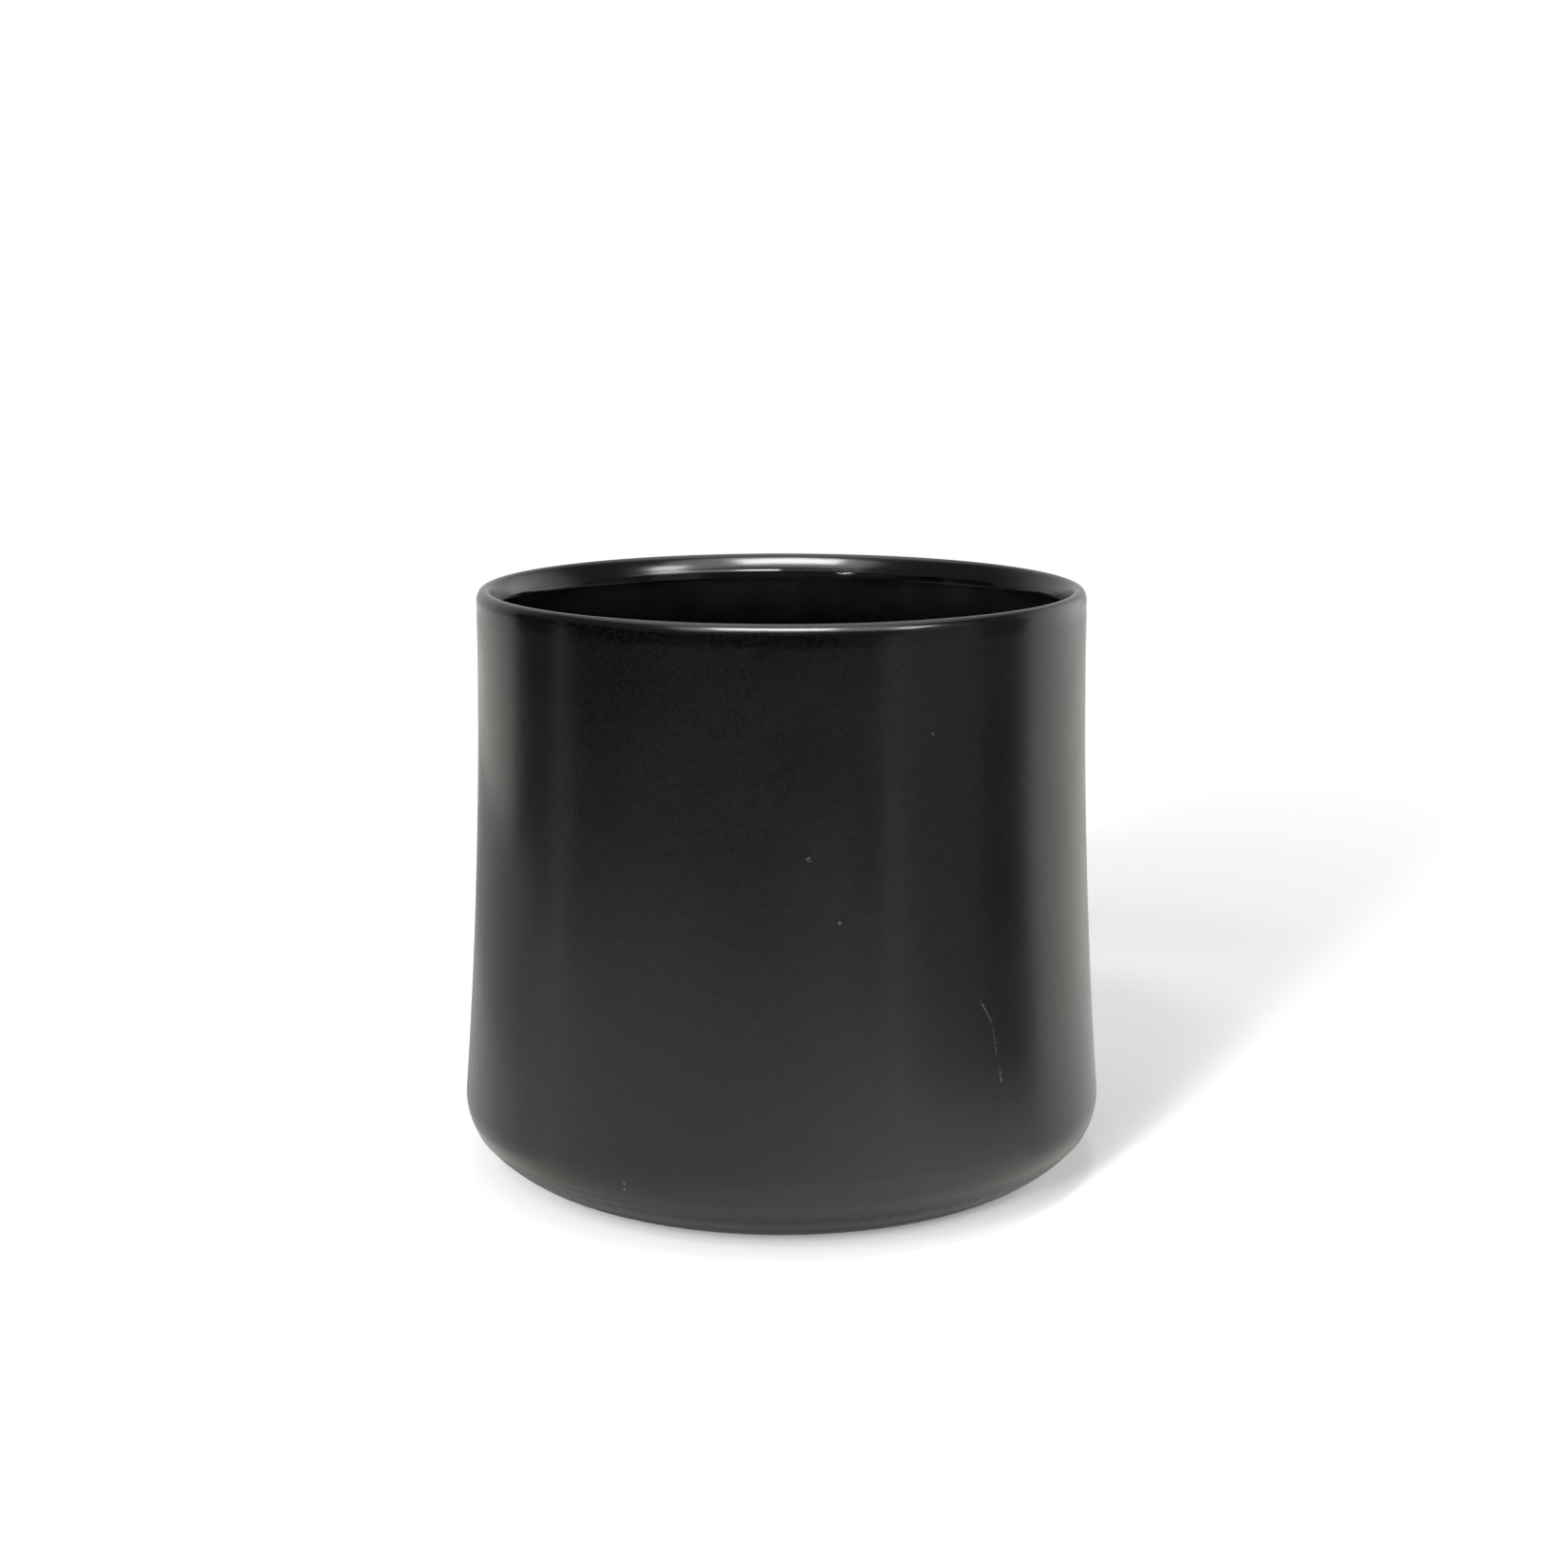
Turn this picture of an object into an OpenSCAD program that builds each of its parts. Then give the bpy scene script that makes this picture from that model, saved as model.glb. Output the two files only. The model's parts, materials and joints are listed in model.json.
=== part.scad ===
// Empty candle jar: a round blown glass vessel whose foot flares out a little,
// with a satin black sprayed coat on its outside.
// Millimetres, +Z up, origin on the axis at the level of the standing ring.

/* [Jar] */
// Height over all, from the standing ring to the top of the lip
jar_h = 87.3; // [75:0.1:110]
// Outer diameter at the lip
rim_d = 90; // [89.5:0.5:94]
// How far the foot stands out past the lip, on each side
flare = 3.2; // [1.5:0.1:6]
// Height of the widest place
foot_z = 10.8; // [9:0.1:13]

/* [Heel] */
// Radius of the round between the wall and the heel seam
heel_r = 8.5; // [7:0.25:10]
// Slope of the round where it ends at the seam, from upright
seam_upper_a = 32; // [26:1:38]
// Slope of the base curve where it starts at the seam, from upright
seam_lower_a = 37; // [34:1:44]
// Width of the flat standing ring
ring_w = 2.4; // [1.5:0.1:4]
// Height of the step at the ring's inner edge
step_h = 1; // [0.6:0.1:1.4]
// Rise of the underside at the centre
punt_h = 2.2; // [1.8:0.1:3]

/* [Glass] */
// Inner diameter of the mouth, where a lid seals
mouth_d = 84; // [80:0.5:84.5]
// Floor thickness over the standing ring
floor_t = 7; // [5:0.5:12]
// How much wider the inside is at the foot than at the mouth, on each side
inner_flare = 2.6; // [1:0.1:3]
// Radius of the round between the inner wall and the floor
corner_r = 9; // [6:0.5:12]
// Length of the straight bore below the lip's inner curve
bore_len = 12; // [8:0.5:20]
// Radius of the lip's crown
crown_r = 1.1; // [0.9:0.05:1.2]
// Depth of the lip's inner curve
lip_depth = 4.2; // [3.8:0.1:5]

/* [Coat] */
// Thickness of the sprayed coat
coat_t = 0.12; // [0.08:0.02:0.16]
// How far the coat reaches down inside the lip
coat_depth = 2.7; // [1.5:0.1:2.7]
// Height at which the coat ends above the standing ring
coat_clear = 0.2; // [0.15:0.05:0.6]

/* [Hidden] */
$fn = 180;

// The glass is smaller than the whole jar by the coat
glass_h = jar_h - coat_t;
rim_r = rim_d / 2 - coat_t;
foot_r = rim_r + flare;
bore_r = mouth_d / 2;
wall_t = rim_r - bore_r;

// The flare is one arc, upright at the crown and tangent to the heel's round
crown_z = glass_h - crown_r;
flare_drop = crown_z - foot_z;
flare_r = (pow(flare, 2) + pow(flare_drop, 2)) / (2 * flare) - heel_r;
flare_c = [rim_r + flare_r, crown_z];
flare_a = asin(flare_drop / (flare_r + heel_r));
heel_c = [foot_r - heel_r, foot_z];

// The base curve starts at the seam and ends level at the standing ring
seam = heel_c + heel_r * [cos(seam_upper_a), -sin(seam_upper_a)];
base_r = seam[1] / (1 - sin(seam_lower_a));
ring_r = seam[0] - base_r * cos(seam_lower_a);
base_c = [ring_r, base_r];

// The lip is a small crown that runs into a larger inner curve
crown_c = [rim_r - crown_r, crown_z];
lip_r = (pow(wall_t - crown_r, 2) + pow(lip_depth - crown_r, 2) - pow(crown_r, 2))
    / (2 * (wall_t - 2 * crown_r));
lip_c = [bore_r + lip_r, glass_h - lip_depth];
lip_a = atan2(crown_c[1] - lip_c[1], crown_c[0] - lip_c[0]);
coat_a = 180 - asin((lip_depth - coat_depth) / lip_r);

// The inner wall is straight at the mouth, then one arc down to the floor's corner
bore_z = lip_c[1] - bore_len;
corner_z = floor_t + corner_r;
inner_drop = bore_z - corner_z;
inner_r = (pow(inner_flare, 2) + pow(inner_drop, 2)) / (2 * inner_flare) - corner_r;
inner_c = [bore_r + inner_r, bore_z];
inner_a = asin(inner_drop / (inner_r + corner_r));
corner_c = [bore_r + inner_flare - corner_r, corner_z];

// The underside is a shallow dome, one step above the standing ring
step_r = ring_r - ring_w;
punt_r = step_r - step_h;
dome_rise = punt_h - step_h;
dome_r = (pow(punt_r, 2) + pow(dome_rise, 2)) / (2 * dome_rise);
dome_c = [0, punt_h - dome_r];
dome_a = 90 - asin(punt_r / dome_r);

// Steps in each arc
fine = 16;
short = 8;

// Points on an arc from angle a to angle b, without the first one where skip is 1
function arc(centre, r, a, b, steps, skip = 0) =
    [for (i = [skip:steps]) centre + r * [cos(a + (b - a) * i / steps), sin(a + (b - a) * i / steps)]];

// Angle on the base curve, grown by g, where it is at height z
function base_a(g, z) = -asin((base_r - z) / (base_r + g));

// The outside from the base curve up, grown by g, to angle lip_end on the lip's inner curve
function outside(g, start_a, lip_end) = concat(
    arc(base_c, base_r + g, start_a, -seam_lower_a, fine),
    arc(heel_c, heel_r + g, -seam_upper_a, flare_a, short, g > 0 ? 0 : 1),
    arc(flare_c, flare_r - g, 180 + flare_a, 180, fine, 1),
    arc(crown_c, crown_r + g, 0, lip_a, fine, 1),
    arc(lip_c, lip_r + g, lip_a, lip_end, short, 1)
);

// The inside from the straight bore down to the floor
inside = concat(
    [[bore_r, bore_z]],
    arc(inner_c, inner_r, 180, 180 + inner_a, fine, 1),
    arc(corner_c, corner_r, inner_a, -90, fine, 1)
);

function reversed(points) = [for (i = [len(points) - 1:-1:0]) points[i]];

module glass_vessel() {
    color([0.55, 0.66, 0.62, 0.45])
    rotate_extrude()
    polygon(concat(
        outside(0, -90, 180),
        inside,
        [[0, floor_t]],
        arc(dome_c, dome_r, 90, dome_a, short),
        [[step_r, 0]]
    ));
}

// The coat's edges are square to the glass, so both of its lines end at the same angles
module wall_coat() {
    edge_a = base_a(coat_t, coat_clear);
    color([0.07, 0.07, 0.07])
    rotate_extrude()
    polygon(concat(
        outside(coat_t, edge_a, coat_a),
        reversed(outside(0, edge_a, coat_a))
    ));
}

module base_coat() {
    color([0.07, 0.07, 0.07])
    rotate_extrude()
    polygon(concat(
        arc(dome_c, dome_r, 90, dome_a, short),
        arc(dome_c, dome_r - coat_t, dome_a, 90, short)
    ));
}

glass_vessel();
wall_coat();
base_coat();
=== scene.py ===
import bpy
import json
import random
from math import asin, atan2, cos, degrees, pi, radians, sin, sqrt
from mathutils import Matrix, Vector


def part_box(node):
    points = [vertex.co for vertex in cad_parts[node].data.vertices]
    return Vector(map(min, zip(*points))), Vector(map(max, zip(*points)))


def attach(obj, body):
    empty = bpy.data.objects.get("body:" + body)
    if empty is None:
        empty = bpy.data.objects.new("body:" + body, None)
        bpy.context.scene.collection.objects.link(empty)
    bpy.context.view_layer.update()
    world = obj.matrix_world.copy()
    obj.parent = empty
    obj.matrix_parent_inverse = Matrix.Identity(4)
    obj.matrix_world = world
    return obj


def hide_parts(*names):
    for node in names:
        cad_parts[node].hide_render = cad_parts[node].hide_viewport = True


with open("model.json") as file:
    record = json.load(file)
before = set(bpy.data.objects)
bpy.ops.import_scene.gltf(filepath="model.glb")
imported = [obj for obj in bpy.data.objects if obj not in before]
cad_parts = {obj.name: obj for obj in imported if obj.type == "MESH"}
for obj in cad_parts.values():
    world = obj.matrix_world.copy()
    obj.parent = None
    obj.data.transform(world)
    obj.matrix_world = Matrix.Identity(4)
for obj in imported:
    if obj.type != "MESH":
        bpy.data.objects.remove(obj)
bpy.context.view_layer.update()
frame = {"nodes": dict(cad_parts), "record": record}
mm = 0.001
mounts = {mount["name"]: mount for mount in frame["record"]["mounts"]}
print("frame loaded:", ", ".join(sorted(frame["nodes"])))

# The jar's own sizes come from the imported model; the rest of its outline is given here
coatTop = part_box("wall_coat")[1].z
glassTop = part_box("glass_vessel")[1].z
coatThick = coatTop - glassTop
boreRadius = mounts["mouth_bore"]["dims"]["r_mm"] * mm
boreLength = mounts["mouth_bore"]["dims"]["length_mm"] * mm
floorTop = mounts["wick_seat"]["pos_m"][2]

jarOutline = {
    "rimRadius": 45 * mm,         # over the coat
    "flare": 3.2 * mm,            # how far the foot stands out past the lip
    "footHeight": 10.8 * mm,      # height of the widest place
    "uprightDrop": 1.1 * mm,      # below the top of the glass, where the flare is upright
    "heelRound": 8.5 * mm,
    "slopeAboveSeam": 32,         # degrees from upright
    "slopeBelowSeam": 37,
    "ringWidth": 2.4 * mm,
    "ringStep": 1 * mm,
    "puntRise": 2.2 * mm,
    "innerFlare": 2.6 * mm,
    "cornerRound": 9 * mm,
    "crownRound": 0.85 * mm,
    "shoulderRound": 2.0 * mm,    # the softer curve between the wall and the crown
    "shoulderTurn": 34,           # degrees that it turns through
    "lipDepth": 4.2 * mm,
    "coatDepth": 2.7 * mm,        # how far the coat reaches down inside the lip
    "coatClear": 0.2 * mm,        # where it ends above the standing ring
}

cameraSetup = {
    "distance": 375.6 * mm,       # in front of the jar's axis
    "height": 131.9 * mm,
    "aside": 0.35 * mm,
    "tiltDown": 11.25,            # degrees
    "lens": 58.38,
    "sensor": 36,
    "nearest": 10 * mm,           # nothing nearer than this is drawn
}


def arc(centre, radius, start, end, steps, skip=0):
    # Points on an arc in the (radius, height) plane, angles in degrees
    points = []
    for step in range(skip, steps + 1):
        angle = radians(start + (end - start) * step / steps)
        points.append((centre[0] + radius * cos(angle), centre[1] + radius * sin(angle)))
    return points


# The same tangent arcs as in the frame, worked out once for every piece
shape = jarOutline
rimRadius = shape["rimRadius"] - coatThick
footRadius = rimRadius + shape["flare"]
upright = glassTop - shape["uprightDrop"]
flareDrop = upright - shape["footHeight"]
flareRadius = (shape["flare"] ** 2 + flareDrop ** 2) / (2 * shape["flare"]) - shape["heelRound"]
flareCentre = (rimRadius + flareRadius, upright)
flareAngle = degrees(asin(flareDrop / (flareRadius + shape["heelRound"])))
heelCentre = (footRadius - shape["heelRound"], shape["footHeight"])
seamPoint = arc(heelCentre, shape["heelRound"], -shape["slopeAboveSeam"], 0, 1)[0]
baseRadius = seamPoint[1] / (1 - sin(radians(shape["slopeBelowSeam"])))
ringRadius = seamPoint[0] - baseRadius * cos(radians(shape["slopeBelowSeam"]))
baseCentre = (ringRadius, baseRadius)

shoulderMore = shape["shoulderRound"] - shape["crownRound"]
shoulderTurn = radians(shape["shoulderTurn"])
shoulderHeight = glassTop - shape["crownRound"] - shoulderMore * sin(shoulderTurn)
shoulderCentre = (rimRadius - shape["shoulderRound"], shoulderHeight)
crownCentre = (
    shoulderCentre[0] + shoulderMore * cos(shoulderTurn),
    glassTop - shape["crownRound"],
)
flareEnd = 180 + degrees(asin((upright - shoulderHeight) / flareRadius))
lipInset = crownCentre[0] - boreRadius
lipRise = shape["lipDepth"] - shape["crownRound"]
lipRadius = lipInset ** 2 + lipRise ** 2 - shape["crownRound"] ** 2
lipRadius /= 2 * (lipInset - shape["crownRound"])
lipCentre = (boreRadius + lipRadius, glassTop - shape["lipDepth"])
lipAngle = degrees(atan2(crownCentre[1] - lipCentre[1], crownCentre[0] - lipCentre[0]))
coatAngle = 180 - degrees(asin((shape["lipDepth"] - shape["coatDepth"]) / lipRadius))

boreBottom = lipCentre[1] - boreLength
cornerHeight = floorTop + shape["cornerRound"]
innerDrop = boreBottom - cornerHeight
innerRadius = (shape["innerFlare"] ** 2 + innerDrop ** 2) / (2 * shape["innerFlare"])
innerRadius -= shape["cornerRound"]
innerCentre = (boreRadius + innerRadius, boreBottom)
innerAngle = degrees(asin(innerDrop / (innerRadius + shape["cornerRound"])))
cornerCentre = (boreRadius + shape["innerFlare"] - shape["cornerRound"], cornerHeight)

stepRadius = ringRadius - shape["ringWidth"]
puntRadius = stepRadius - shape["ringStep"]
domeRise = shape["puntRise"] - shape["ringStep"]
domeRadius = (puntRadius ** 2 + domeRise ** 2) / (2 * domeRise)
domeCentre = (0, shape["puntRise"] - domeRadius)
domeAngle = 90 - degrees(asin(puntRadius / domeRadius))


def baseAngle(grow, height):
    # Where the base curve, grown by this much, is at a height
    return -degrees(asin((baseRadius - height) / (baseRadius + grow)))


def outerWall(grow, start, steps):
    # From the base curve up to the crown, without the seam's detail
    return (
        arc(baseCentre, baseRadius + grow, start, -shape["slopeBelowSeam"], steps["base"])
        + arc(heelCentre, shape["heelRound"] + grow, -shape["slopeAboveSeam"], flareAngle, steps["heel"])
        + arc(flareCentre, flareRadius - grow, 180 + flareAngle, flareEnd, steps["flare"], 1)
    )


def lipCurve(grow, end, steps):
    turn = shape["shoulderTurn"]
    return (
        arc(shoulderCentre, shape["shoulderRound"] + grow, 0, turn, steps["shoulder"], 1)
        + arc(crownCentre, shape["crownRound"] + grow, turn, lipAngle, steps["crown"], 1)
        + arc(lipCentre, lipRadius + grow, lipAngle, end, steps["lip"], 1)
    )


def startRing(radius, height, segments, fill="NOTHING"):
    # The first ring of a piece, left selected in edit mode, open or filled as a cap
    bpy.ops.object.select_all(action="DESELECT")
    bpy.ops.mesh.primitive_circle_add(
        vertices=segments, radius=radius, fill_type=fill, location=(0, 0, height))
    bpy.ops.object.transform_apply(location=True, rotation=True, scale=True)
    bpy.ops.object.mode_set(mode="EDIT")
    bpy.ops.mesh.select_mode(type="EDGE")
    bpy.ops.mesh.select_all(action="SELECT")
    if fill != "NOTHING":
        bpy.ops.mesh.region_to_loop()


def pullRings(outline):
    # Each ring is the last one extruded, then moved and resized to its own place
    for (oldRadius, oldHeight), (radius, height) in zip(outline, outline[1:]):
        bpy.ops.mesh.extrude_edges_move(
            TRANSFORM_OT_translate={"value": (0, 0, height - oldHeight)})
        ratio = radius / oldRadius
        bpy.ops.transform.resize(value=(ratio, ratio, 1), center_override=(0, 0, height))


def closePole():
    bpy.ops.mesh.extrude_edges_move(TRANSFORM_OT_translate={"value": (0, 0, 0)})
    bpy.ops.mesh.merge(type="CENTER")


def closeSection():
    # Joins the last ring to the first, so that the section is a closed loop
    bpy.ops.mesh.select_all(action="DESELECT")
    bpy.ops.mesh.select_non_manifold(extend=False, use_wire=False, use_multi_face=False,
                                     use_non_contiguous=False, use_verts=False)
    bpy.ops.mesh.bridge_edge_loops()


def selectPoints(test):
    # Selects in edit mode the points that a test picks by their place
    bpy.ops.mesh.select_mode(type="VERT")
    bpy.ops.mesh.select_all(action="DESELECT")
    bpy.ops.object.mode_set(mode="OBJECT")
    for point in bpy.context.object.data.vertices:
        point.select = test(point.co)
    bpy.ops.object.mode_set(mode="EDIT")


def finishPiece(name, sharpFrom, node):
    bpy.ops.mesh.select_all(action="SELECT")
    bpy.ops.mesh.normals_make_consistent(inside=False)
    bpy.ops.object.mode_set(mode="OBJECT")
    piece = bpy.context.object
    piece.name = name
    piece.data.name = name
    bpy.ops.object.shade_smooth_by_angle(angle=radians(sharpFrom))
    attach(piece, "root")
    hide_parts(node)
    print(name, "modelled:", len(piece.data.polygons), "faces")
    return piece


# Glass vessel: one closed wall of glass, from the middle of the floor round to the punt
glassDetail = {
    "segments": 256,
    "steps": {"base": 16, "heel": 12, "flare": 24, "shoulder": 8, "crown": 12, "lip": 12},
    "cornerSteps": 20,
    "innerSteps": 24,
    "domeSteps": 8,
    "poleRadius": 3 * mm,
    "floorRings": (0.3, 0.55, 0.8),  # shares of the flat floor's radius
    "sharpFrom": 32,              # degrees, past which an edge isn't smoothed
}


def buildGlass():
    steps = glassDetail["steps"]
    pole = glassDetail["poleRadius"]
    inside = [(pole, floorTop)]
    inside += [(cornerCentre[0] * share, floorTop) for share in glassDetail["floorRings"]]
    inside += arc(cornerCentre, shape["cornerRound"], -90, innerAngle, glassDetail["cornerSteps"])
    inside += arc(innerCentre, innerRadius, 180 + innerAngle, 180, glassDetail["innerSteps"], 1)
    lip = list(reversed(lipCurve(0, 180, steps)))
    wall = list(reversed(outerWall(0, -90, steps)))
    dome = arc(domeCentre, domeRadius, 90, domeAngle, glassDetail["domeSteps"], 1)
    under = [(stepRadius, 0)] + list(reversed(dome))
    startRing(pole, floorTop, glassDetail["segments"], "TRIFAN")
    pullRings(inside + lip + wall + under)
    closePole()
    return finishPiece("glassVessel", glassDetail["sharpFrom"], "glass_vessel")


# Wall coat: a thin film over the outside and the lip, with the mould's seam and press marks
coatDetail = {
    "segments": 640,
    "steps": {"base": 14, "heel": 12, "flare": 28, "shoulder": 7, "crown": 10, "lip": 8},
    "insideSteps": {"base": 8, "heel": 6, "flare": 10, "shoulder": 4, "crown": 7, "lip": 6},
    "sink": 0.04 * mm,            # how far it bites into the glass, so that no gap shows
    "seamProud": 0.07 * mm,       # how far the mould's seam stands out
    "seamHalf": 0.22 * mm,        # half its width
    "seamSides": 0.35,            # how proud its two sides are, next to its middle
    "freeBelow": 1.5,             # degrees of each curve that the seam takes
    "freeAbove": 2.5,
    "markBand": (1.1 * mm, 5.7 * mm),
    "markDepths": (0.025 * mm, 0.045 * mm, 0.07 * mm),
    "markShare": 0.15,            # of the columns, for each depth
    "markSeed": 11,
    "edgeBead": 0.012 * mm,       # paint drawn up where it ends inside the lip
    "edgeReach": 2.2,             # degrees of the lip's curve that the bead takes
    "edgeShape": ((-0.6, 0.6), (-0.3, 1), (0, 0.6)),  # shares of the reach and of the bead
    "thickEdge": (54, 90),        # where round the mouth it ran thicker, in degrees
    "thickBead": 0.035 * mm,
    "thickHalf": 0.25 * mm,       # half the height of the band that stands out
    "sharpFrom": 40,
}


def seamBead():
    # Three points that carry the wall over the seam between the base curve and the heel
    low = arc(baseCentre, baseRadius + coatThick, -shape["slopeBelowSeam"], 0, 1)[0]
    high = arc(heelCentre, shape["heelRound"] + coatThick, -shape["slopeAboveSeam"], 0, 1)[0]
    middle = ((low[0] + high[0]) / 2, (low[1] + high[1]) / 2)
    out = radians(-(shape["slopeBelowSeam"] + shape["slopeAboveSeam"]) / 2)
    proud = coatDetail["seamProud"]
    half = coatDetail["seamHalf"]
    sides = coatDetail["seamSides"]
    points = []
    for along, lift in ((-1, sides), (0, 1), (1, sides)):
        points.append((
            middle[0] + cos(out) * proud * lift - sin(out) * half * along,
            middle[1] + sin(out) * proud * lift + cos(out) * half * along,
        ))
    return points


def paintEdge():
    # The paint's last few points inside the lip, raised into a bead
    bead = coatDetail["edgeBead"]
    reach = coatDetail["edgeReach"]
    points = []
    for along, lift in coatDetail["edgeShape"]:
        radius = lipRadius + coatThick + bead * lift
        points += arc(lipCentre, radius, coatAngle + reach * along, 0, 1)[:1]
    return points


def buildWallCoat():
    steps = coatDetail["steps"]
    edge = baseAngle(coatThick, shape["coatClear"])
    belowSeam = -shape["slopeBelowSeam"] - coatDetail["freeBelow"]
    aboveSeam = -shape["slopeAboveSeam"] + coatDetail["freeAbove"]
    base = arc(baseCentre, baseRadius + coatThick, edge, belowSeam, steps["base"])
    heel = arc(heelCentre, shape["heelRound"] + coatThick, aboveSeam, flareAngle, steps["heel"])
    flare = arc(flareCentre, flareRadius - coatThick, 180 + flareAngle, flareEnd, steps["flare"], 1)
    lip = lipCurve(coatThick, coatAngle - coatDetail["edgeReach"], steps)
    outer = base + seamBead() + heel + flare + lip + paintEdge()
    sink = coatDetail["sink"]
    inner = outerWall(-sink, edge, coatDetail["insideSteps"])
    inner += lipCurve(-sink, coatAngle, coatDetail["insideSteps"])
    outline = outer + list(reversed(inner))
    startRing(outline[0][0], outline[0][1], coatDetail["segments"])
    pullRings(outline)
    closeSection()
    pressMarks()
    thickenEdge()
    coat = finishPiece("wallCoat", coatDetail["sharpFrom"], "wall_coat")
    firstBonded = len(outer) * coatDetail["segments"]
    return coat, lambda face: min(face.vertices) >= firstBonded


def pressMarks():
    # Uneven upright dents that the mould's base plate leaves below the seam
    draw = random.Random(coatDetail["markSeed"])
    count = coatDetail["segments"]
    low, high = coatDetail["markBand"]
    depths = coatDetail["markDepths"]
    pressed = [0] * count
    for column in range(count):
        if draw.random() < coatDetail["markShare"] * len(depths):
            pressed[column] = 1 + draw.randrange(len(depths))
    for number, depth in enumerate(depths, 1):
        selectPoints(lambda place: low < place.z < high and pressed[
            round(atan2(place.y, place.x) / (2 * pi) * count) % count] == number)
        squeeze = 1 - depth / ringRadius
        bpy.ops.transform.resize(value=(squeeze, squeeze, 1), center_override=(0, 0, 0))


def thickenEdge():
    # The bead stands out further along one part of the mouth
    start, end = coatDetail["thickEdge"]
    edgeHeight = arc(lipCentre, lipRadius, coatAngle, 0, 1)[0][1]
    selectPoints(lambda place: abs(place.z - edgeHeight) < coatDetail["thickHalf"]
                 and sqrt(place.x ** 2 + place.y ** 2) < boreRadius + coatThick
                 and start < degrees(atan2(place.y, -place.x)) < end)
    squeeze = 1 - coatDetail["thickBead"] / boreRadius
    bpy.ops.transform.resize(value=(squeeze, squeeze, 1), center_override=(0, 0, 0))


# Base coat: the film sprayed on the dome under the floor
baseCoatDetail = {
    "segments": 192,
    "rings": 10,
    "poleRadius": 2 * mm,
    "sink": 0.04 * mm,
    "sharpFrom": 40,
}


def buildBaseCoat():
    rings = baseCoatDetail["rings"]
    poleAngle = 90 - degrees(asin(baseCoatDetail["poleRadius"] / domeRadius))
    upper = arc(domeCentre, domeRadius + baseCoatDetail["sink"], poleAngle, domeAngle, rings)
    lower = arc(domeCentre, domeRadius - coatThick, domeAngle, poleAngle, rings)
    outline = upper + lower
    startRing(outline[0][0], outline[0][1], baseCoatDetail["segments"], "TRIFAN")
    pullRings(outline)
    closePole()
    coat = finishPiece("baseCoat", baseCoatDetail["sharpFrom"], "base_coat")
    return coat, lambda face: face.normal.z > 0.5


# Small helpers for node trees
def addNode(tree, kind, **values):
    node = tree.nodes.new(kind)
    for key, value in values.items():
        setattr(node, key, value)
    return node


def feed(tree, socket, value):
    # A socket takes either another node's output or a plain value
    if isinstance(value, bpy.types.NodeSocket):
        tree.links.new(value, socket)
    else:
        socket.default_value = value


def calculate(tree, operation, first, second=0.0):
    node = addNode(tree, "ShaderNodeMath", operation=operation)
    feed(tree, node.inputs[0], first)
    feed(tree, node.inputs[1], second)
    return node.outputs[0]


def rangeTo(tree, value, low, high, lowest=0.0, highest=1.0, kind="SMOOTHSTEP"):
    node = addNode(tree, "ShaderNodeMapRange", interpolation_type=kind)
    for name, number in (("Value", value), ("From Min", low), ("From Max", high),
                         ("To Min", lowest), ("To Max", highest)):
        feed(tree, node.inputs[name], number)
    return node.outputs["Result"]


def noiseOf(tree, place, scale, detail, roughness):
    node = addNode(tree, "ShaderNodeTexNoise")
    feed(tree, node.inputs["Vector"], place)
    feed(tree, node.inputs["Scale"], scale)
    feed(tree, node.inputs["Detail"], detail)
    feed(tree, node.inputs["Roughness"], roughness)
    return node.outputs["Fac"]


def blendColour(tree, mask, below, above):
    node = addNode(tree, "ShaderNodeMix", data_type="RGBA")
    feed(tree, node.inputs[0], mask)
    feed(tree, node.inputs[6], below)
    feed(tree, node.inputs[7], above)
    return node.outputs[2]


def newGroup(name, inputs, outputs):
    group = bpy.data.node_groups.new(name, "ShaderNodeTree")
    for label, kind in inputs:
        group.interface.new_socket(name=label, in_out="INPUT", socket_type="NodeSocket" + kind)
    for label, kind in outputs:
        group.interface.new_socket(name=label, in_out="OUTPUT", socket_type="NodeSocket" + kind)
    return group, group.nodes.new("NodeGroupInput").outputs, group.nodes.new("NodeGroupOutput").inputs


def useGroup(tree, group, **values):
    node = addNode(tree, "ShaderNodeGroup", node_tree=group)
    for label, value in values.items():
        feed(tree, node.inputs[label], value)
    return node.outputs


# The shared effects, each one node group
effectDetail = {
    "peelNoise": (3.0, 0.6),      # detail and roughness of each noise
    "waveNoise": (1.0, 0.5),
    "cloudNoise": (2.0, 0.45),
    "tearNoise": (2.0, 0.5),
    "wearNoise": (5.0, 0.65),
    "peelShare": 0.35,            # of the fine peel in a film's height, over its slow waves
    "pigmentRange": (0.36, 0.64),
    "dustKept": 0.72,             # cells under this value have no speck
    "dustSolid": 0.6,             # share of a speck, from its middle, before its soft edge
    "rubSolidWidth": 0.3,
    "rubSolidLength": 0.4,
    "rubTear": 2600.0,            # noise that tears a rub's outline, in cells to the metre
    "rubTearRange": (0.4, 0.56),
    "wearRange": (0.5, 0.72),
}


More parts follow.
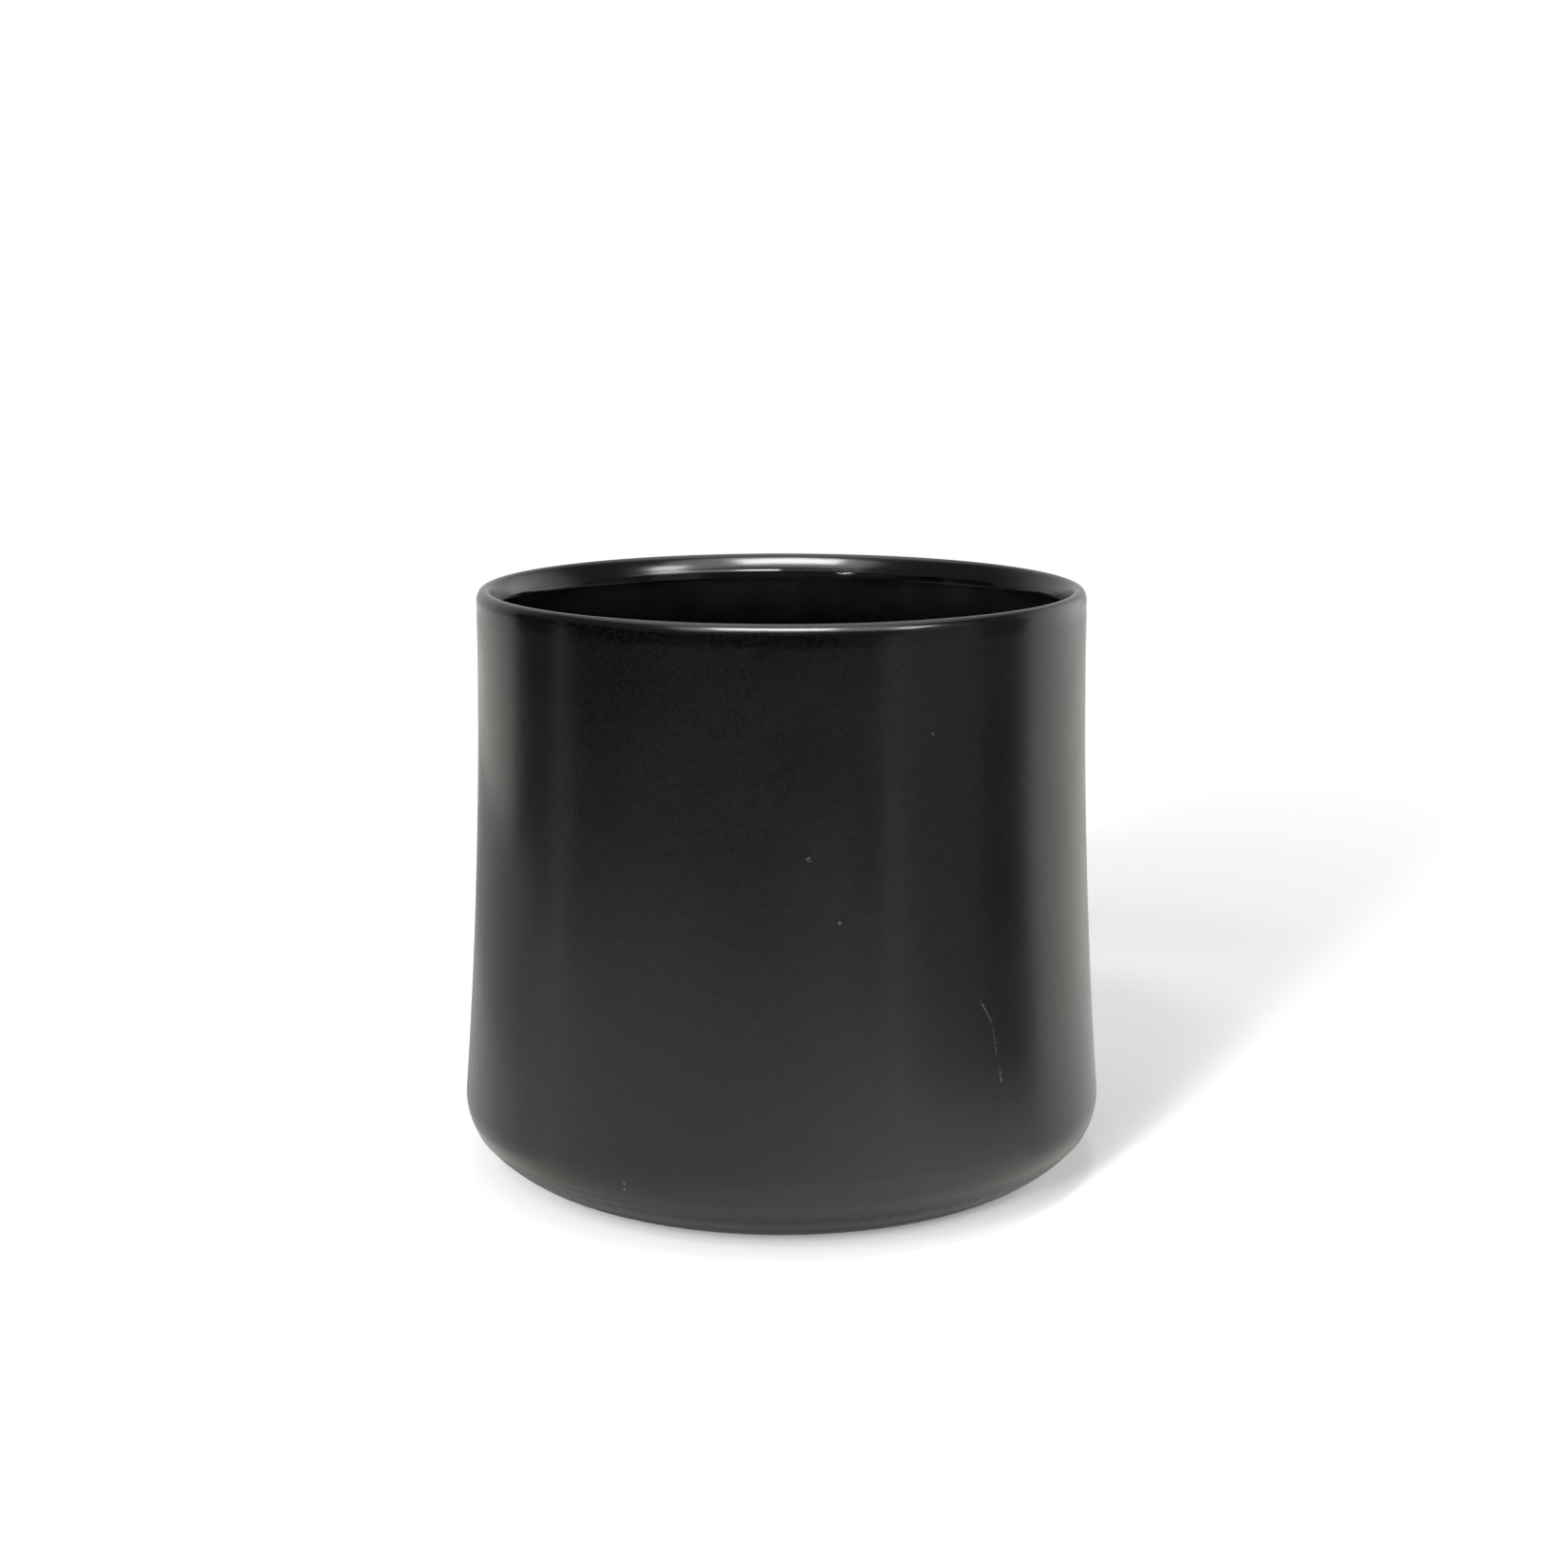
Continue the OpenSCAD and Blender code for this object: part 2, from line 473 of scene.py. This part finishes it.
def makeSprayGrain():
    # A sprayed film: fine orange peel over slow waves, a soft mottling and its pigment's grain
    detail = effectDetail
    group, given, result = newGroup(
        "sprayGrain",
        [("Place", "Vector"), ("Grain", "Float"), ("Waves", "Float"), ("Cloud", "Float")],
        [("Height", "Float"), ("Mottle", "Float"), ("Pigment", "Float")])
    fine = noiseOf(group, given["Place"], given["Grain"], *detail["peelNoise"])
    slow = noiseOf(group, given["Place"], given["Waves"], *detail["waveNoise"])
    peel = calculate(group, "MULTIPLY", fine, detail["peelShare"])
    feed(group, result["Height"], calculate(group, "ADD", peel, slow))
    cloud = noiseOf(group, given["Place"], given["Cloud"], *detail["cloudNoise"])
    feed(group, result["Mottle"], cloud)
    feed(group, result["Pigment"], rangeTo(group, fine, *detail["pigmentRange"]))
    return group


def makeDust():
    # Sparse round specks: one cell in a few keeps its speck, each of its own size
    group, given, result = newGroup(
        "dustSpecks", [("Place", "Vector"), ("Cells", "Float"), ("Size", "Float")], [("Mask", "Float")])
    cells = addNode(group, "ShaderNodeTexVoronoi", feature="F1")
    feed(group, cells.inputs["Vector"], given["Place"])
    feed(group, cells.inputs["Scale"], given["Cells"])
    split = addNode(group, "ShaderNodeSeparateColor")
    feed(group, split.inputs[0], cells.outputs["Color"])
    kept = calculate(group, "GREATER_THAN", split.outputs[0], effectDetail["dustKept"])
    reach = calculate(group, "MULTIPLY", given["Size"], split.outputs[1])
    solid = calculate(group, "MULTIPLY", reach, effectDetail["dustSolid"])
    near = rangeTo(group, cells.outputs["Distance"], solid, reach, 1.0, 0.0)
    feed(group, result["Mask"], calculate(group, "MULTIPLY", near, kept))
    return group


def makeRub():
    # One short rub or chip on the wall: how far round, how high, its size and its lean
    detail = effectDetail
    group, given, result = newGroup(
        "rubMark",
        [("Place", "Vector"), ("Around", "Float"), ("Height", "Float"), ("Length", "Float"),
         ("Width", "Float"), ("Lean", "Float")],
        [("Mask", "Float")])
    part = addNode(group, "ShaderNodeSeparateXYZ")
    feed(group, part.inputs[0], given["Place"])
    toFront = calculate(group, "MULTIPLY", part.outputs[1], -1.0)
    turn = calculate(group, "ARCTAN2", part.outputs[0], toFront)
    away = calculate(group, "SUBTRACT", turn, calculate(group, "RADIANS", given["Around"]))
    across = calculate(group, "MULTIPLY", away, shape["rimRadius"])
    along = calculate(group, "SUBTRACT", part.outputs[2], given["Height"])
    leaned = calculate(group, "ADD", across, calculate(group, "MULTIPLY", along, given["Lean"]))
    solidWidth = calculate(group, "MULTIPLY", given["Width"], detail["rubSolidWidth"])
    side = rangeTo(group, calculate(group, "ABSOLUTE", leaned), solidWidth, given["Width"], 1.0, 0.0)
    solidLength = calculate(group, "MULTIPLY", given["Length"], detail["rubSolidLength"])
    end = rangeTo(group, calculate(group, "ABSOLUTE", along), solidLength, given["Length"], 1.0, 0.0)
    front = calculate(group, "LESS_THAN", calculate(group, "ABSOLUTE", away), 1.0)
    tear = noiseOf(group, given["Place"], detail["rubTear"], *detail["tearNoise"])
    torn = rangeTo(group, tear, *detail["rubTearRange"])
    mask = calculate(group, "MULTIPLY", calculate(group, "MULTIPLY", side, end), front)
    feed(group, result["Mask"], calculate(group, "MULTIPLY", mask, torn))
    return group


def makeEdgeWearAndPaintedLight():
    # Wear that begins at a height and grows over a short reach, broken up by noise. Its plain rise with
    # height also carries the painted light inside the mouth
    group, given, result = newGroup(
        "edgeWearAndPaintedLight", [("Place", "Vector"), ("Start", "Float"), ("Full", "Float"), ("Patches", "Float")],
        [("Mask", "Float"), ("Level", "Float")])
    part = addNode(group, "ShaderNodeSeparateXYZ")
    feed(group, part.inputs[0], given["Place"])
    level = rangeTo(group, part.outputs[2], given["Start"], given["Full"])
    patches = noiseOf(group, given["Place"], given["Patches"], *effectDetail["wearNoise"])
    broken = rangeTo(group, patches, *effectDetail["wearRange"])
    feed(group, result["Mask"], calculate(group, "MULTIPLY", level, broken))
    feed(group, result["Level"], level)
    return group


def newMaterial(name):
    material = bpy.data.materials.new(name)
    material.use_nodes = True
    tree = material.node_tree
    tree.nodes.clear()
    output = tree.nodes.new("ShaderNodeOutputMaterial")
    shader = tree.nodes.new("ShaderNodeBsdfPrincipled")
    tree.links.new(shader.outputs["BSDF"], output.inputs["Surface"])
    return material, tree, shader


def wear(piece, material, bonded=None, isBonded=None):
    # The second material is for the side of a film that is stuck to the glass
    piece.data.materials.clear()
    piece.data.materials.append(material)
    if bonded:
        piece.data.materials.append(bonded)
        for face in piece.data.polygons:
            face.material_index = int(isBonded(face))


# Satin black spray: nearly black, with dust in it and a few rubs on the wall
satinFinish = {
    "black": (0.0002, 0.0002, 0.0002, 1),
    "pigment": (0.0040, 0.0039, 0.0036, 1),
    "dust": (0.30, 0.30, 0.28, 1),
    "rubbed": (0.075, 0.075, 0.07, 1),
    "roughness": 0.27,
    "roughnessSpread": 0.05,
    "mottleRange": (0.3, 0.7),
    "lipRoughness": 0.19,
    "grain": 2400.0,              # fine peel, in noise cells to the metre
    "waves": 420.0,
    "cloud": 55.0,
    "bumpHeight": 0.012 * mm,
    "dustCells": 75.0,
    "dustSize": 0.012,
    "dustHeight": 2.0,            # of a speck, next to the film's own unevenness
    "wearPatches": 340.0,
    "wearStrength": 0.35,
    "lipBand": (coatTop - 3.6 * mm, coatTop - 2.2 * mm),  # where the lip's own gloss comes in
    "wallWear": (2 * mm, 0.4 * mm),  # wear at the foot, from its start down to its full strength
    "baseWear": (1.4 * mm, 0.9 * mm),
    # The paint seen inside through the glass: painted shade low down and painted light higher up,
    # towards the mouth
    "bondedPaintedShade": (0.0016, 0.0017, 0.0017, 1),
    "bondedPaintedLight": (0.0170, 0.0180, 0.0178, 1),
    "bondedCloud": 140.0,
    "bondedShare": (0.5, 1.0),    # of the lighter colour, from the least cloudy place to the most
    # heights between which the painted light comes in towards the mouth
    "bondedPaintedLightRise": (74 * mm, 86 * mm),
    "bondedRoughness": 0.7,
    "ior": 1.5,
}
rubMarks = (
    # degrees round from the front, height, half length, half width, lean
    (4.6, 55.9 * mm, 0.42 * mm, 0.4 * mm, 0),
    (9.8, 47.1 * mm, 0.32 * mm, 0.3 * mm, 0),
    (26.7, 72.1 * mm, 0.26 * mm, 0.24 * mm, 0),
    (49.4, 68.5 * mm, 0.8 * mm, 0.14 * mm, 0.3),
    (37.4, 32.4 * mm, 2.3 * mm, 0.22 * mm, 0.55),
    (39.2, 27.6 * mm, 3.2 * mm, 0.1 * mm, 0.1),
    (40.2, 23.0 * mm, 1.4 * mm, 0.26 * mm, 0.1),
    (-26.8, 9.1 * mm, 1.0 * mm, 0.2 * mm, -0.1),
)
glassFinish = {
    "tint": (0.86, 0.95, 0.92, 1),
    "roughness": 0.03,
    "filmRoughness": 0.07,
    "filmCloud": 38.0,
    "filmRange": (0.42, 0.66),
    "grain": 900.0,
    "waves": 120.0,
    "bumpHeight": 0.02 * mm,
    "bumpStrength": 0.6,
    "ior": 1.52,
}


def satinBlack(name, groups, marks, footWear):
    look = satinFinish
    material, tree, shader = newMaterial(name)
    place = addNode(tree, "ShaderNodeTexCoord").outputs["Object"]
    spray = useGroup(tree, groups["sprayGrain"], Place=place, Grain=look["grain"],
                     Waves=look["waves"], Cloud=look["cloud"])
    dust = useGroup(tree, groups["dustSpecks"], Place=place, Cells=look["dustCells"],
                    Size=look["dustSize"])["Mask"]
    lip = useGroup(tree, groups["edgeWearAndPaintedLight"], Place=place, Start=look["lipBand"][0],
                   Full=look["lipBand"][1], Patches=look["wearPatches"])
    foot = useGroup(tree, groups["edgeWearAndPaintedLight"], Place=place, Start=footWear[0],
                    Full=footWear[1], Patches=look["wearPatches"])
    colour = blendColour(tree, spray["Pigment"], look["black"], look["pigment"])
    rubbed = calculate(tree, "MULTIPLY", foot["Mask"], look["wearStrength"])
    for around, height, length, width, lean in marks:
        rub = useGroup(tree, groups["rubMark"], Place=place, Around=around, Height=height,
                       Length=length, Width=width, Lean=lean)["Mask"]
        rubbed = calculate(tree, "MAXIMUM", rubbed, rub)
    colour = blendColour(tree, rubbed, colour, look["rubbed"])
    colour = blendColour(tree, dust, colour, look["dust"])
    feed(tree, shader.inputs["Base Color"], colour)
    half = look["roughnessSpread"] / 2
    rough = rangeTo(tree, spray["Mottle"], *look["mottleRange"], look["roughness"] - half,
                    look["roughness"] + half, "LINEAR")
    gloss = calculate(tree, "MULTIPLY", lip["Level"], look["roughness"] - look["lipRoughness"])
    feed(tree, shader.inputs["Roughness"], calculate(tree, "SUBTRACT", rough, gloss))
    feed(tree, shader.inputs["IOR"], look["ior"])
    bump = addNode(tree, "ShaderNodeBump")
    bump.inputs["Strength"].default_value = 1
    bump.inputs["Distance"].default_value = look["bumpHeight"]
    dustHeight = calculate(tree, "MULTIPLY", dust, look["dustHeight"])
    height = calculate(tree, "ADD", spray["Height"], dustHeight)
    feed(tree, bump.inputs["Height"], calculate(tree, "SUBTRACT", height, rubbed))
    feed(tree, shader.inputs["Normal"], bump.outputs["Normal"])
    return material


def vesselGlass(groups):
    look = glassFinish
    material, tree, shader = newMaterial("vesselGlass")
    place = addNode(tree, "ShaderNodeTexCoord").outputs["Object"]
    spray = useGroup(tree, groups["sprayGrain"], Place=place, Grain=look["grain"],
                     Waves=look["waves"], Cloud=look["filmCloud"])
    film = rangeTo(tree, spray["Mottle"], *look["filmRange"], look["roughness"], look["filmRoughness"])
    feed(tree, shader.inputs["Roughness"], film)
    shader.inputs["Base Color"].default_value = look["tint"]
    shader.inputs["IOR"].default_value = look["ior"]
    shader.inputs["Transmission Weight"].default_value = 1
    bump = addNode(tree, "ShaderNodeBump")
    bump.inputs["Strength"].default_value = look["bumpStrength"]
    bump.inputs["Distance"].default_value = look["bumpHeight"]
    feed(tree, bump.inputs["Height"], spray["Height"])
    feed(tree, shader.inputs["Normal"], bump.outputs["Normal"])
    return material


def bondedBlack(groups):
    # Paint seen through the glass it is stuck to: no gloss of its own. Its colour holds painted light,
    # lighter towards the mouth where light falls in, and painted shade deeper down
    look = satinFinish
    material, tree, shader = newMaterial("bondedBlack")
    place = addNode(tree, "ShaderNodeTexCoord").outputs["Object"]
    spray = useGroup(tree, groups["sprayGrain"], Place=place, Grain=look["grain"],
                     Waves=look["waves"], Cloud=look["bondedCloud"])
    # Painted light: the paint seen inside gets lighter going up towards the mouth, broken up by its
    # random clouding
    rise = useGroup(tree, groups["edgeWearAndPaintedLight"], Place=place, Start=look["bondedPaintedLightRise"][0],
                    Full=look["bondedPaintedLightRise"][1], Patches=look["wearPatches"])["Level"]
    cloud = rangeTo(tree, spray["Mottle"], *look["mottleRange"], *look["bondedShare"])
    lighter = calculate(tree, "MULTIPLY", cloud, rise)
    colour = blendColour(tree, lighter, look["bondedPaintedShade"], look["bondedPaintedLight"])
    feed(tree, shader.inputs["Base Color"], colour)
    shader.inputs["Roughness"].default_value = look["bondedRoughness"]
    shader.inputs["Specular IOR Level"].default_value = 0
    return material


glassVessel = buildGlass()
wallCoat, wallBonded = buildWallCoat()
baseCoat, baseBonded = buildBaseCoat()
effects = {
    "sprayGrain": makeSprayGrain(),
    "dustSpecks": makeDust(),
    "rubMark": makeRub(),
    "edgeWearAndPaintedLight": makeEdgeWearAndPaintedLight(),
}
bonded = bondedBlack(effects)
wallBlack = satinBlack("satinBlack", effects, rubMarks, satinFinish["wallWear"])
baseBlack = satinBlack("baseBlack", effects, (), satinFinish["baseWear"])
wear(glassVessel, vesselGlass(effects))
wear(wallCoat, wallBlack, bonded, wallBonded)
wear(baseCoat, baseBlack, bonded, baseBonded)
print("materials placed")

# Stage: a plain white table, lit from the front left so that the shadow falls back to the right
tableSetup = {
    "radius": 0.9,
    "sides": 96,
    "fadeFrom": 0.5,              # from this radius out it fades into the white behind it
    "colour": (0.79, 0.79, 0.79, 1),
    "roughness": 0.7,
    "specular": 0.2,
    "glowSeen": (1, 1, 1, 1),
    "glowReflected": (1, 0.93, 0.8, 1),
    "glow": 0.45,
    # Painted contact shade: the table's glow falls away under the jar over this reach
    "glowInPaintedShade": 0.02,            # of it that is left under the jar
    "paintedContactShade": (0.0345, 0.0425),  # it comes in over this reach, just outside the standing ring
}
worldSetup = {
    "front": 0.2,                 # in front and at the sides, behind the camera
    "back": 0.85,
    "backFrom": (0.25, 0.85),
    "rightPanel": (0.829, 0.559, 0),
    "rightBright": 1.15,
    "rightFrom": (0.82, 0.985),
    "overhead": (0, 0.1, 0.995),
    "overheadBright": 2.2,
    "overheadFrom": (0.7, 0.97),
    "onTable": 0.12,              # what the table and the paint's own colour get from it
}
sunSetup = (
    # height above the table in degrees, strength, width in degrees
    (16, 1.6, 7),
    (23, 0.72, 8),
    (33, 0.58, 9),
    (50, 0.62, 10),
    (80, 0.6, 40),
)
sunFrom = -28                     # degrees round from the front
sunDistance = 2.0
softboxes = (
    # name, degrees round, degrees up, width, height, radiant power
    ("mainSoftbox", -4, 51.5, 0.74, 0.3, 16),
    ("rightSoftbox", 55, 35, 0.28, 0.22, 3.2),
    ("fillSoftbox", 5, 50, 1.7, 0.6, 9),
)
softboxDistance = 1.2
softboxAim = 60 * mm              # the height on the jar's axis that they face
flatLift = 0.15 * mm              # of the flat cards above the table
# Discs that stand in for the table round the foot in reflections, dimmer than it and dimmest in the
# middle: painted contact shade in what the foot mirrors
footShadeCards = (
    # name, radius, height above the table, how bright
    ("footCard", 0.0467, 0.15 * mm, 0.45),
    ("footCoreCard", 0.0418, 0.18 * mm, 0.2),
)
tableSpot = {"place": (0.056, -0.082, 0.5), "power": 9, "spread": 16, "radius": 0.04, "blend": 1}
uprightCards = (
    # name, start and end on the table, height, how bright
    ("cornerLeftCard", (-0.25, -0.19), (-0.19, -0.27), 0.12, 0.02),
    ("frontCard", (-0.19, -0.27), (0.12, -0.315), 0.12, 0.02),
    ("rightCard", (0.12, -0.15), (0.12, -0.055), 0.16, 0.36),
    ("sideCard", (0.12, -0.055), (0.12, -0.01), 0.16, 0.14),
    ("cornerRightCard", (0.12, -0.315), (0.12, -0.18), 0.16, 0.12),
    ("leftCard", (-0.25, -0.05), (-0.25, -0.19), 0.16, 0.01),
    ("farCard", (-0.25, 0.08), (-0.25, -0.03), 0.16, 0.03),
    ("lowLeftCard", (-0.105, 0.16), (-0.125, -0.01), 0.038, 0.5),
)
flatCards = (
    # name, two opposite corners on the table, how bright
    ("leftFlatCard", (-0.2, -0.03), (-0.052, 0.25), 0.78),
    ("rightFlatCard", (0.052, -0.03), (0.11, 0.12), 0.95),
)


def placeAt(around, up, distance):
    side = radians(around)
    rise = radians(up)
    return (distance * sin(side) * cos(rise), -distance * cos(side) * cos(rise), distance * sin(rise))


def buildTable():
    bpy.ops.object.select_all(action="DESELECT")
    bpy.ops.mesh.primitive_circle_add(
        vertices=tableSetup["sides"], radius=tableSetup["radius"], fill_type="NGON")
    table = bpy.context.object
    table.name = "table"
    material, tree, shader = newMaterial("tableTop")
    shader.inputs["Base Color"].default_value = tableSetup["colour"]
    shader.inputs["Roughness"].default_value = tableSetup["roughness"]
    shader.inputs["Specular IOR Level"].default_value = tableSetup["specular"]
    path = addNode(tree, "ShaderNodeLightPath")
    feed(tree, shader.inputs["Emission Color"], blendColour(
        tree, path.outputs["Is Glossy Ray"], tableSetup["glowSeen"], tableSetup["glowReflected"]))
    place = addNode(tree, "ShaderNodeTexCoord").outputs["Object"]
    reach = addNode(tree, "ShaderNodeVectorMath", operation="LENGTH")
    feed(tree, reach.inputs[0], place)
    # Painted contact shade: the glow drops under the jar, standing for the shade under its foot
    glow = rangeTo(tree, reach.outputs["Value"], *tableSetup["paintedContactShade"],
                   tableSetup["glowInPaintedShade"], tableSetup["glow"])
    feed(tree, shader.inputs["Emission Strength"], glow)
    seen = rangeTo(tree, reach.outputs["Value"], tableSetup["fadeFrom"], tableSetup["radius"], 1.0, 0.0)
    feed(tree, shader.inputs["Alpha"], seen)
    wear(table, material)


def towards(tree, facing, direction, limits, lowest, highest):
    # How bright the world is near one direction, rising between two limits of the cosine
    turned = addNode(tree, "ShaderNodeVectorMath", operation="DOT_PRODUCT")
    turned.inputs[1].default_value = direction
    feed(tree, turned.inputs[0], facing)
    return rangeTo(tree, turned.outputs["Value"], *limits, lowest, highest)


def buildWorld():
    # The camera sees white, the table gets an even light, and reflections get a soft studio
    world = bpy.data.worlds.new("studio")
    bpy.context.scene.world = world
    world.use_nodes = True
    tree = world.node_tree
    tree.nodes.clear()
    output = addNode(tree, "ShaderNodeOutputWorld")
    seen = addNode(tree, "ShaderNodeBackground")
    seen.inputs["Color"].default_value = (1, 1, 1, 1)
    around = addNode(tree, "ShaderNodeBackground")
    mix = addNode(tree, "ShaderNodeMixShader")
    path = addNode(tree, "ShaderNodeLightPath")
    facing = addNode(tree, "ShaderNodeTexCoord").outputs["Generated"]
    setup = worldSetup
    back = towards(tree, facing, (0, 1, 0), setup["backFrom"], setup["front"], setup["back"])
    right = towards(tree, facing, setup["rightPanel"], setup["rightFrom"], 0.0, setup["rightBright"])
    top = towards(tree, facing, setup["overhead"], setup["overheadFrom"], 0.0, setup["overheadBright"])
    shine = calculate(tree, "MULTIPLY", top, path.outputs["Is Glossy Ray"])
    sides = calculate(tree, "ADD", back, right)
    bright = calculate(tree, "ADD", sides, shine)
    soft = addNode(tree, "ShaderNodeMix", data_type="FLOAT")
    feed(tree, soft.inputs[0], path.outputs["Is Diffuse Ray"])
    feed(tree, soft.inputs[2], bright)
    feed(tree, soft.inputs[3], setup["onTable"])
    feed(tree, around.inputs["Strength"], soft.outputs[0])
    feed(tree, mix.inputs[0], path.outputs["Is Camera Ray"])
    feed(tree, mix.inputs[1], around.outputs[0])
    feed(tree, mix.inputs[2], seen.outputs[0])
    feed(tree, output.inputs["Surface"], mix.outputs[0])


def aimAtJar(lamp, height):
    away = Vector(lamp.location) - Vector((0, 0, height))
    lamp.rotation_euler = away.to_track_quat("Z", "Y").to_euler()


def buildLights():
    # The suns light the table and the paint's own colour, the softboxes only show as reflections
    for up, strength, width in sunSetup:
        bpy.ops.object.light_add(type="SUN", location=placeAt(sunFrom, up, sunDistance))
        sun = bpy.context.object
        sun.name = f"sun{up}"
        sun.data.energy = strength
        sun.data.angle = radians(width)
        sun.visible_glossy = False
        aimAtJar(sun, 0)
    for name, around, up, width, height, power in softboxes:
        bpy.ops.object.light_add(type="AREA", location=placeAt(around, up, softboxDistance))
        lamp = bpy.context.object
        lamp.name = name
        lamp.data.shape = "RECTANGLE"
        lamp.data.size = width
        lamp.data.size_y = height
        lamp.data.energy = power
        lamp.visible_camera = False
        lamp.visible_diffuse = False
        aimAtJar(lamp, softboxAim)


def buildTableSpot():
    # Brightens the table in front to the right, which the foot reflects
    bpy.ops.object.light_add(type="SPOT", location=tableSpot["place"])
    spot = bpy.context.object
    spot.name = "tableSpot"
    spot.data.energy = tableSpot["power"]
    spot.data.spot_size = radians(tableSpot["spread"])
    spot.data.spot_blend = tableSpot["blend"]
    spot.data.shadow_soft_size = tableSpot["radius"]
    spot.visible_glossy = False


def onlyReflected(card, name, glow):
    # A card glows evenly, casts no shadow and shows in reflections only
    card.name = name
    material, tree, shader = newMaterial(card.name)
    shader.inputs["Base Color"].default_value = (0, 0, 0, 1)
    shader.inputs["Specular IOR Level"].default_value = 0
    shader.inputs["Emission Color"].default_value = (1, 1, 1, 1)
    shader.inputs["Emission Strength"].default_value = glow
    wear(card, material)
    card.visible_camera = False
    card.visible_diffuse = False
    card.visible_transmission = False
    card.visible_shadow = False


def buildCards():
    # They shape what the wall and the foot mirror: upright ones, flat ones and discs round the foot,
    # whose dimmer glow is painted contact shade
    for name, start, end, height, glow in uprightCards:
        bpy.ops.object.select_all(action="DESELECT")
        middle = ((start[0] + end[0]) / 2, (start[1] + end[1]) / 2, height / 2)
        width = sqrt((end[0] - start[0]) ** 2 + (end[1] - start[1]) ** 2)
        bpy.ops.mesh.primitive_plane_add(size=1, location=middle, rotation=(
            pi / 2, 0, atan2(end[1] - start[1], end[0] - start[0])))
        card = bpy.context.object
        card.scale = (width, height, 1)
        onlyReflected(card, name, glow)
    for name, start, end, glow in flatCards:
        bpy.ops.object.select_all(action="DESELECT")
        bpy.ops.mesh.primitive_plane_add(size=1, location=(
            (start[0] + end[0]) / 2, (start[1] + end[1]) / 2, flatLift))
        card = bpy.context.object
        card.scale = (end[0] - start[0], end[1] - start[1], 1)
        onlyReflected(card, name, glow)
    for name, radius, lift, glow in footShadeCards:
        bpy.ops.object.select_all(action="DESELECT")
        bpy.ops.mesh.primitive_circle_add(
            vertices=tableSetup["sides"], radius=radius, fill_type="NGON", location=(0, 0, lift))
        onlyReflected(bpy.context.object, name, glow)


def buildCamera():
    bpy.ops.object.camera_add(
        location=(cameraSetup["aside"], -cameraSetup["distance"], cameraSetup["height"]),
        rotation=(radians(90 - cameraSetup["tiltDown"]), 0, 0))
    camera = bpy.context.object
    camera.data.lens = cameraSetup["lens"]
    camera.data.sensor_width = cameraSetup["sensor"]
    camera.data.clip_start = cameraSetup["nearest"]
    bpy.context.scene.camera = camera


buildTable()
buildWorld()
buildLights()
buildTableSpot()
buildCards()
buildCamera()
bpy.context.scene.view_settings.view_transform = "Standard"
print("stage, lights and camera placed")
